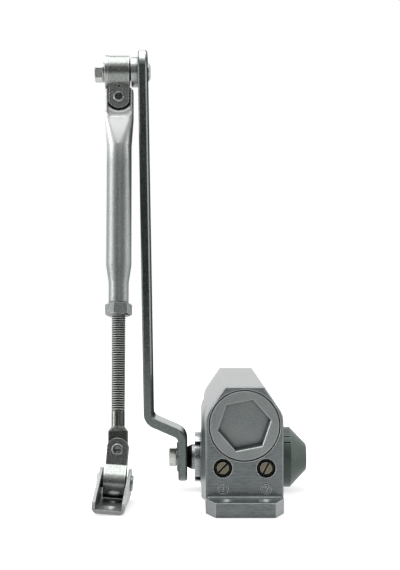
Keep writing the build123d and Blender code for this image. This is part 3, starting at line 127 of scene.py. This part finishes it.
def finish(
    name,
    low,
    high,
    metallic=0.0,
    rough=(0.3, 0.45),
    grain=900.0,
    depth=40e-6,
    stretch=(1.0, 1.0, 1.0),
    seed=0.0,
    cloud=45.0,
    cloudy=0.35,
    edge=0.00025,
    coat=0.0,
    gloss=0.5,
    mark=None,
    shade=0.0,
    reach=0.004,
    wear=0.0,
    wear_width=0.0006,
    bright="e4e8e6",
    bare=None,
    dull=None,
):
    """Procedural finish of one material.

    low, high: the grain's two colours
    rough: roughness on the grain's low and high spots
    grain, depth, stretch, seed: the grain's scale, height, stretch along the axes, and shift
    cloud, cloudy: scale of slow clouds, and their share in the grain
    edge: radius that sharp edges show
    coat, gloss: weight of the clear coat, and strength of the shine
    mark: colour, strength and scale of scattered marks
    shade, reach: strength of the shade painted into creases and corners, and the distance at which
    it starts
    wear, wear_width, bright: share, width and colour of the highlight painted along edges
    bare: the two heights between which a painted highlight brightens the colour
    dull: colour of the painted shade on the sides across X, shown at a glancing view instead of
    their reflection
    """
    coat_roughness = 0.25
    grain_spread = (0.33, 0.67)
    rough_spread = (0.3, 0.7)
    mark_limit = (0.60, 0.72)
    open_edge, worn_edge = 0.9, 0.6
    deep_crease, open_face = 0.25, 0.92
    glancing = (0.2, 0.45)
    across = (0.55, 0.8)

    material = bpy.data.materials.new(name)
    material.use_nodes = True
    tree = material.node_tree
    link = tree.links.new
    shader = tree.nodes["Principled BSDF"]
    shader.inputs["Metallic"].default_value = metallic
    shader.inputs["Coat Weight"].default_value = coat
    shader.inputs["Specular IOR Level"].default_value = gloss
    shader.inputs["Coat Roughness"].default_value = coat_roughness

    # Grain with slow clouds. The seed moves the grain to another part of the noise.
    where = add(tree, "ShaderNodeTexCoord")
    shift = add(
        tree,
        "ShaderNodeMapping",
        {"Location": (seed, seed * 0.7, seed * 1.3), "Scale": stretch},
    )
    link(where.outputs["Object"], shift.inputs["Vector"])
    fine = add(tree, "ShaderNodeTexNoise", {"Scale": grain, "Detail": 4.0, "Roughness": 0.62})
    link(shift.outputs["Vector"], fine.inputs["Vector"])
    slow = add(tree, "ShaderNodeTexNoise", {"Scale": cloud, "Detail": 3.0, "Roughness": 0.55})
    link(where.outputs["Object"], slow.inputs["Vector"])
    blend = add(tree, "ShaderNodeMix", {"Factor": cloudy}, data_type="FLOAT")
    link(fine.outputs["Fac"], blend.inputs[2])
    link(slow.outputs["Fac"], blend.inputs[3])
    ramp = add(tree, "ShaderNodeValToRGB")
    for element, place, code in zip(ramp.color_ramp.elements, grain_spread, (low, high)):
        element.position = place
        element.color = colour(code)
    link(blend.outputs[0], ramp.inputs["Fac"])
    paint = ramp.outputs["Color"]

    if mark:
        mark_code, strength, scale = mark
        spots = add(tree, "ShaderNodeTexNoise", {"Scale": scale, "Detail": 6.0, "Roughness": 0.7})
        link(where.outputs["Object"], spots.inputs["Vector"])
        share = step_between(tree, spots.outputs["Fac"], *mark_limit, most=strength)
        paint = paint_over(tree, share, paint, mark_code)
    # Painted highlight: the colour turns light between two heights, where a slope catches the
    # light
    if bare:
        height = split_axes(tree, where.outputs["Object"])["Z"]
        paint = paint_over(tree, step_between(tree, height, *bare, smooth=True), paint, bright)
    # Painted highlight: edges turn to a light colour, found by occlusion inside the surface
    if wear:
        rim = add(
            tree,
            "ShaderNodeAmbientOcclusion",
            {"Distance": wear_width},
            samples=corner_samples,
            inside=True,
        )
        share = step_between(tree, rim.outputs["AO"], open_edge, worn_edge, most=wear)
        paint = paint_over(tree, share, paint, bright)
    # Painted shade: the colour darkens in creases and corners, found by occlusion
    if shade:
        crease = add(
            tree, "ShaderNodeAmbientOcclusion", {"Distance": reach}, samples=corner_samples
        )
        dark = add(tree, "ShaderNodeVectorMath", operation="SCALE")
        link(paint, dark.inputs[0])
        link(
            step_between(tree, crease.outputs["AO"], deep_crease, open_face, least=1.0 - shade),
            dark.inputs["Scale"],
        )
        paint = dark.outputs["Vector"]
    link(paint, shader.inputs["Base Color"])
    link(step_between(tree, blend.outputs[0], *rough_spread, *rough), shader.inputs["Roughness"])

    # Rounded edges under the grain's bumps
    soft = add(tree, "ShaderNodeBevel", {"Radius": edge}, samples=edge_samples)
    bump = add(tree, "ShaderNodeBump", {"Strength": 1.0, "Distance": depth})
    link(fine.outputs["Fac"], bump.inputs["Height"])
    link(soft.outputs["Normal"], bump.inputs["Normal"])
    link(bump.outputs["Normal"], shader.inputs["Normal"])

    # Painted shade: sides across X turn to a dark matt shader at a glancing view, in place of
    # their reflection
    if dull:
        facing = add(tree, "ShaderNodeLayerWeight", {"Blend": 0.5})
        glance = step_between(tree, facing.outputs["Facing"], *glancing)
        sideways = split_axes(tree, where.outputs["Normal"])["X"]
        tilt = add(tree, "ShaderNodeMath", operation="ABSOLUTE")
        link(sideways, tilt.inputs[0])
        side = step_between(tree, tilt.outputs["Value"], *across)
        share = calculate(tree, "MULTIPLY", glance, side)
        chalk = add(tree, "ShaderNodeBsdfDiffuse", {"Color": colour(dull)})
        skin = mix_shaders(tree, share, shader.outputs["BSDF"], chalk.outputs["BSDF"])
        link(skin, tree.nodes["Material Output"].inputs["Surface"])
    return material


def dress(names, *look, **more):
    """One new finish on all the named nodes."""
    material = finish(*look, **more)
    for name in names:
        mesh = nodes[name].data
        mesh.materials.clear()
        mesh.materials.append(material)


# Body
dress(
    ["housing"],
    "silver_casting", "545b5d", "8a9091",
    metallic=0.65, rough=(0.25, 0.35), grain=2200, depth=16e-6, stretch=(0.12, 0.4, 1.0),
    cloud=30, cloudy=0.4, edge=0.0005, coat=0.5, mark=("4f5555", 0.12, 900),
    shade=0.8, wear=0.8, wear_width=0.00045,
)
dress(
    ["front_plug", "rear_plug"],
    "silver_plug", "727979", "a4aaa9",
    metallic=0.65, rough=(0.26, 0.34), grain=2400, depth=14e-6, seed=0.3,
    edge=0.0004, coat=0.4, shade=0.9, reach=0.002, wear=0.95, wear_width=0.001,
)
dress(
    ["valve_screw_1", "valve_screw_2"],
    "nickel_brass", "69634e", "8d8771",
    metallic=0.85, rough=(0.22, 0.36), depth=10e-6,
    shade=0.97, reach=0.0025, wear=0.5, wear_width=0.0003,
)
dress(
    ["valve_ring_1", "valve_ring_2"],
    "black_plastic", "030303", "0c0c0c",
    rough=(0.5, 0.65), depth=20e-6, gloss=0.15, shade=0.9, reach=0.002,
)
dress(
    ["gland_nut_left", "gland_nut_right"],
    "gland_zinc", "8d9393", "bec3c2",
    metallic=0.92, rough=(0.2, 0.32), depth=5e-6, seed=0.5, cloud=120, cloudy=0.2,
    shade=0.95, reach=0.003, wear=0.5,
)
dress(
    ["spindle_cap"],
    "cap_plastic", "35453d", "465950",
    rough=(0.34, 0.46), grain=700, depth=20e-6, cloud=60, coat=0.2,
    mark=("7c9086", 0.15, 120), shade=0.75, wear=0.5, bright="9fb5aa",
)
dress(
    [
        "front_plug_ring", "rear_plug_ring", "gland_ring_left", "gland_ring_right",
        "shaft_seal_left", "shaft_seal_right", "valve_seal_1", "valve_seal_2", "dust_seal",
    ],
    "black_rubber", "060606", "121211",
    rough=(0.3, 0.5), grain=1200, depth=30e-6, coat=0.2,
)

# Inside the body
dress(
    ["pinion_shaft", "piston", "check_ring"],
    "ground_steel", "75787a", "a6a8a8",
    metallic=0.95, rough=(0.22, 0.38), depth=20e-6,
)
dress(
    ["check_ball"],
    "ball_steel", "a9acae", "c8cacb",
    metallic=1.0, rough=(0.08, 0.14), grain=500, depth=10e-6,
)
dress(
    ["return_spring"],
    "spring_wire", "2c2d30", "4c4e52",
    metallic=0.9, rough=(0.3, 0.45), depth=20e-6,
)
dress(
    ["spindle_bush_left", "spindle_bush_right", "thrust_washer_left", "thrust_washer_right"],
    "sintered_bronze", "6d5131", "9d7a4a",
    metallic=0.9, rough=(0.35, 0.55), grain=1600, depth=30e-6,
)
dress(
    ["piston_rings", "elbow_bush", "foot_bush"],
    "nylon", "c4c1b4", "dad8cd",
    rough=(0.4, 0.5), grain=600, depth=20e-6, shade=0.8,
)

# Arm and elbow
# The arm's top end gets a painted highlight, and its sides painted shade at a glancing view
dress(
    ["main_arm"],
    "arm_enamel", "5c6462", "828a88",
    metallic=0.9, rough=(0.14, 0.24), grain=800, depth=12e-6, cloud=18, cloudy=0.4,
    edge=0.0001, mark=("9aa19e", 0.2, 420), shade=0.8, bare=(0.2435, 0.2465), dull="4a4d4a",
)
dress(
    ["arm_bolt", "elbow_bolt"],
    "bolt_zinc", "b3b7b2", "dee0da",
    metallic=0.95, rough=(0.14, 0.24), grain=700, depth=6e-6, seed=1.3, cloud=200, cloudy=0.3,
    shade=0.9, reach=0.002,
)
dress(
    [
        "arm_washer", "elbow_stud", "elbow_washer", "spring_washer",
        "elbow_rivet", "foot_rivet", "bracket_pin",
    ],
    "bright_zinc", "959998", "c0c3c1",
    metallic=0.95, rough=(0.22, 0.32), depth=3e-6, seed=0.9, cloud=120, cloudy=0.2,
    shade=0.95, reach=0.003, wear=0.5,
)
dress(
    ["elbow_strap"],
    "strap_steel", "848885", "a9ada9",
    metallic=0.95, rough=(0.24, 0.32), depth=4e-6, cloud=150, cloudy=0.15,
    mark=("b4b8b5", 0.12, 700), shade=0.75, wear=0.8,
)

# Forearm and foot
# The flare at the fork end gets a painted highlight between two heights, and its edges painted
# highlights
dress(
    ["forearm_tube"],
    "tube_enamel", "858b8a", "aaaeac",
    metallic=0.85, rough=(0.34, 0.42), grain=1500, depth=8e-6, stretch=(1, 1, 0.6),
    cloud=60, cloudy=0.1, edge=0.002, mark=("6c7170", 0.12, 300),
    shade=0.8, wear=0.5, bright="dadddc", bare=(0.182, 0.208),
)
dress(
    ["lock_nut"],
    "nut_zinc", "747a79", "a0a5a3",
    metallic=0.95, rough=(0.22, 0.34), depth=6e-6, seed=2.9, cloud=150, cloudy=0.2,
    shade=0.95, reach=0.002, wear=0.6,
)
# The thread's crests get painted highlights, and its roots painted shade
dress(
    ["threaded_rod"],
    "thread_zinc", "5b5d5a", "92948f",
    metallic=0.95, rough=(0.2, 0.28), depth=3e-6, seed=2.1, cloud=160, cloudy=0.2,
    edge=0.0001, shade=0.97, reach=0.001, wear=1.0, wear_width=0.0005,
)
dress(
    ["foot_strap"],
    "foot_strap_steel", "868a87", "aaaeab",
    metallic=0.95, rough=(0.24, 0.32), depth=4e-6, seed=3.3, cloud=150, cloudy=0.15,
    mark=("8b8f8c", 0.12, 700), shade=0.85, wear=0.8,
)
dress(
    ["foot_bracket"],
    "bracket_zinc", "adb2b1", "d3d7d5",
    metallic=0.9, rough=(0.3, 0.42), grain=700, depth=5e-6, stretch=(1, 3, 1), seed=1.7,
    cloud=90, cloudy=0.2, shade=0.85, reach=0.014, wear=0.7, wear_width=0.0007,
)

# Return spring, as a copy of its mesh on the body. The real spring shortens against the rear plug
# as the piston comes back; this copy keeps its shape.
coil = bpy.data.objects.new("return_spring_coil", nodes["return_spring"].data.copy())
bpy.context.scene.collection.objects.link(coil)
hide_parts("return_spring")
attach(coil, "body")
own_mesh(coil)

# Floor, just below the mounting face, that the camera sees as the photo's white.
# Metal sees a sheet in its place, white near the object and grey where it ends, in front of it.
floor_reach = 6.0
floor_height = -0.0002
floor_grey = (0.8, 0.8, 0.8, 1.0)
floor_glow = 0.62
sheet_end, sheet_near = -1.5, -0.45
sheet_dark, sheet_light = 0.12, 0.95

floor_mesh = bpy.data.meshes.new("floor")
corners = [(-1, -1), (1, -1), (1, 1), (-1, 1)]
floor_mesh.from_pydata(
    [(x * floor_reach, y * floor_reach, floor_height) for x, y in corners], [], [(0, 1, 2, 3)]
)
floor = bpy.data.objects.new("floor", floor_mesh)
bpy.context.scene.collection.objects.link(floor)
paper = bpy.data.materials.new("floor_paper")
paper.use_nodes = True
tree = paper.node_tree
tree.nodes.clear()
link = tree.links.new
out = add(tree, "ShaderNodeOutputMaterial")
matte = add(tree, "ShaderNodeBsdfDiffuse", {"Color": floor_grey})
glow = add(tree, "ShaderNodeEmission", {"Color": white})
rays = add(tree, "ShaderNodeLightPath").outputs
shiny = calculate(tree, "MAXIMUM", rays["Is Glossy Ray"], rays["Is Transmission Ray"])
seen = calculate(tree, "MAXIMUM", rays["Is Camera Ray"], shiny)
link(calculate(tree, "MULTIPLY", seen, floor_glow), glow.inputs["Strength"])
both = add(tree, "ShaderNodeAddShader")
link(matte.outputs["BSDF"], both.inputs[0])
link(glow.outputs["Emission"], both.inputs[1])
where = add(tree, "ShaderNodeTexCoord")
depth_in_room = split_axes(tree, where.outputs["Object"])["Y"]
sheet = add(tree, "ShaderNodeEmission", {"Color": white})
link(
    step_between(tree, depth_in_room, sheet_end, sheet_near, sheet_dark, sheet_light, smooth=True),
    sheet.inputs["Strength"],
)
link(
    mix_shaders(tree, rays["Is Glossy Ray"], both.outputs["Shader"], sheet.outputs["Emission"]),
    out.inputs["Surface"],
)
floor_mesh.materials.append(paper)

# Studio: white behind and above, bright at the sides, dark on the camera's side.
# Each light grows between two parts of the direction, which run from -1 to 1, to its strength.
behind_from, behind_to, behind_light = -0.25, 0.15, 1.0
above_from, above_to, above_light = 0.45, 0.76, 0.85
left_from, left_to, left_light = -0.4, -0.8, 0.9
right_from, right_to, right_light = 0.55, 0.9, 0.62
room_light = 0.05
background_light = 1.0
# Matt surfaces see this share of what metal sees
matt_share = 0.7

world = bpy.data.worlds.new("studio")
bpy.context.scene.world = world
world.use_nodes = True
tree = world.node_tree
tree.nodes.clear()
link = tree.links.new
out = add(tree, "ShaderNodeOutputWorld")
back = add(tree, "ShaderNodeBackground", {"Color": white})
where = add(tree, "ShaderNodeTexCoord")
way = split_axes(tree, where.outputs["Generated"])
behind = step_between(tree, way["Y"], behind_from, behind_to, most=behind_light, smooth=True)
above = step_between(tree, way["Z"], above_from, above_to, most=above_light, smooth=True)
leftward = step_between(tree, way["X"], left_from, left_to, most=left_light, smooth=True)
rightward = step_between(tree, way["X"], right_from, right_to, most=right_light, smooth=True)
studio = calculate(
    tree,
    "MAXIMUM",
    calculate(tree, "MAXIMUM", behind, above),
    calculate(tree, "MAXIMUM", leftward, rightward),
)
room = calculate(tree, "MAXIMUM", studio, room_light)
rays = add(tree, "ShaderNodeLightPath").outputs
lit = calculate(tree, "MULTIPLY", room, matt_share)
mirrored = mix_numbers(tree, rays["Is Glossy Ray"], lit, room)
clear = calculate(tree, "MAXIMUM", rays["Is Camera Ray"], rays["Is Transmission Ray"])
pick = add(tree, "ShaderNodeMix", {3: background_light}, data_type="FLOAT")
link(clear, pick.inputs[0])
link(mirrored, pick.inputs[2])
link(pick.outputs[0], back.inputs["Strength"])
link(back.outputs["Background"], out.inputs["Surface"])


def softbox(name, place, aim, size, power):
    """Soft area lamp at a place, turned to a point."""
    lamp = bpy.data.lights.new(name, "AREA")
    lamp.shape = "RECTANGLE"
    lamp.size, lamp.size_y = size
    lamp.energy = power
    made = bpy.data.objects.new(name, lamp)
    made.location = place
    turn = (made.location - Vector(aim)).normalized()
    made.rotation_euler = turn.to_track_quat("Z", "Y").to_euler()
    bpy.context.scene.collection.objects.link(made)


middle = (-0.02, 0.0, 0.1)
softbox("top_light", (-0.25, -0.05, 1.3), middle, size=(1.2, 0.9), power=8.5)
softbox("left_light", (-1.2, -0.25, 0.4), middle, size=(0.5, 1.2), power=6.0)
softbox("right_light", (1.2, -0.1, 0.5), middle, size=(0.4, 1.0), power=2.0)
softbox("front_light", (0.3, -1.6, 0.7), middle, size=(0.7, 0.5), power=0.8)

# Camera, level and square to the front, as in the photo
photo_height = 570
focal_pixels = 1233
shift_pixels = 4
film_height = 36.0

eye = bpy.data.cameras.new("camera")
eye.sensor_fit = "VERTICAL"
eye.sensor_height = film_height
eye.lens = film_height * focal_pixels / photo_height
eye.shift_x = shift_pixels / photo_height
eye.clip_start = 0.01
camera = bpy.data.objects.new("camera", eye)
camera.location = (-0.0249, -0.704, 0.1165)
camera.rotation_euler = (radians(90), 0, 0)
bpy.context.scene.collection.objects.link(camera)
bpy.context.scene.camera = camera
bpy.context.scene.view_settings.view_transform = "Standard"
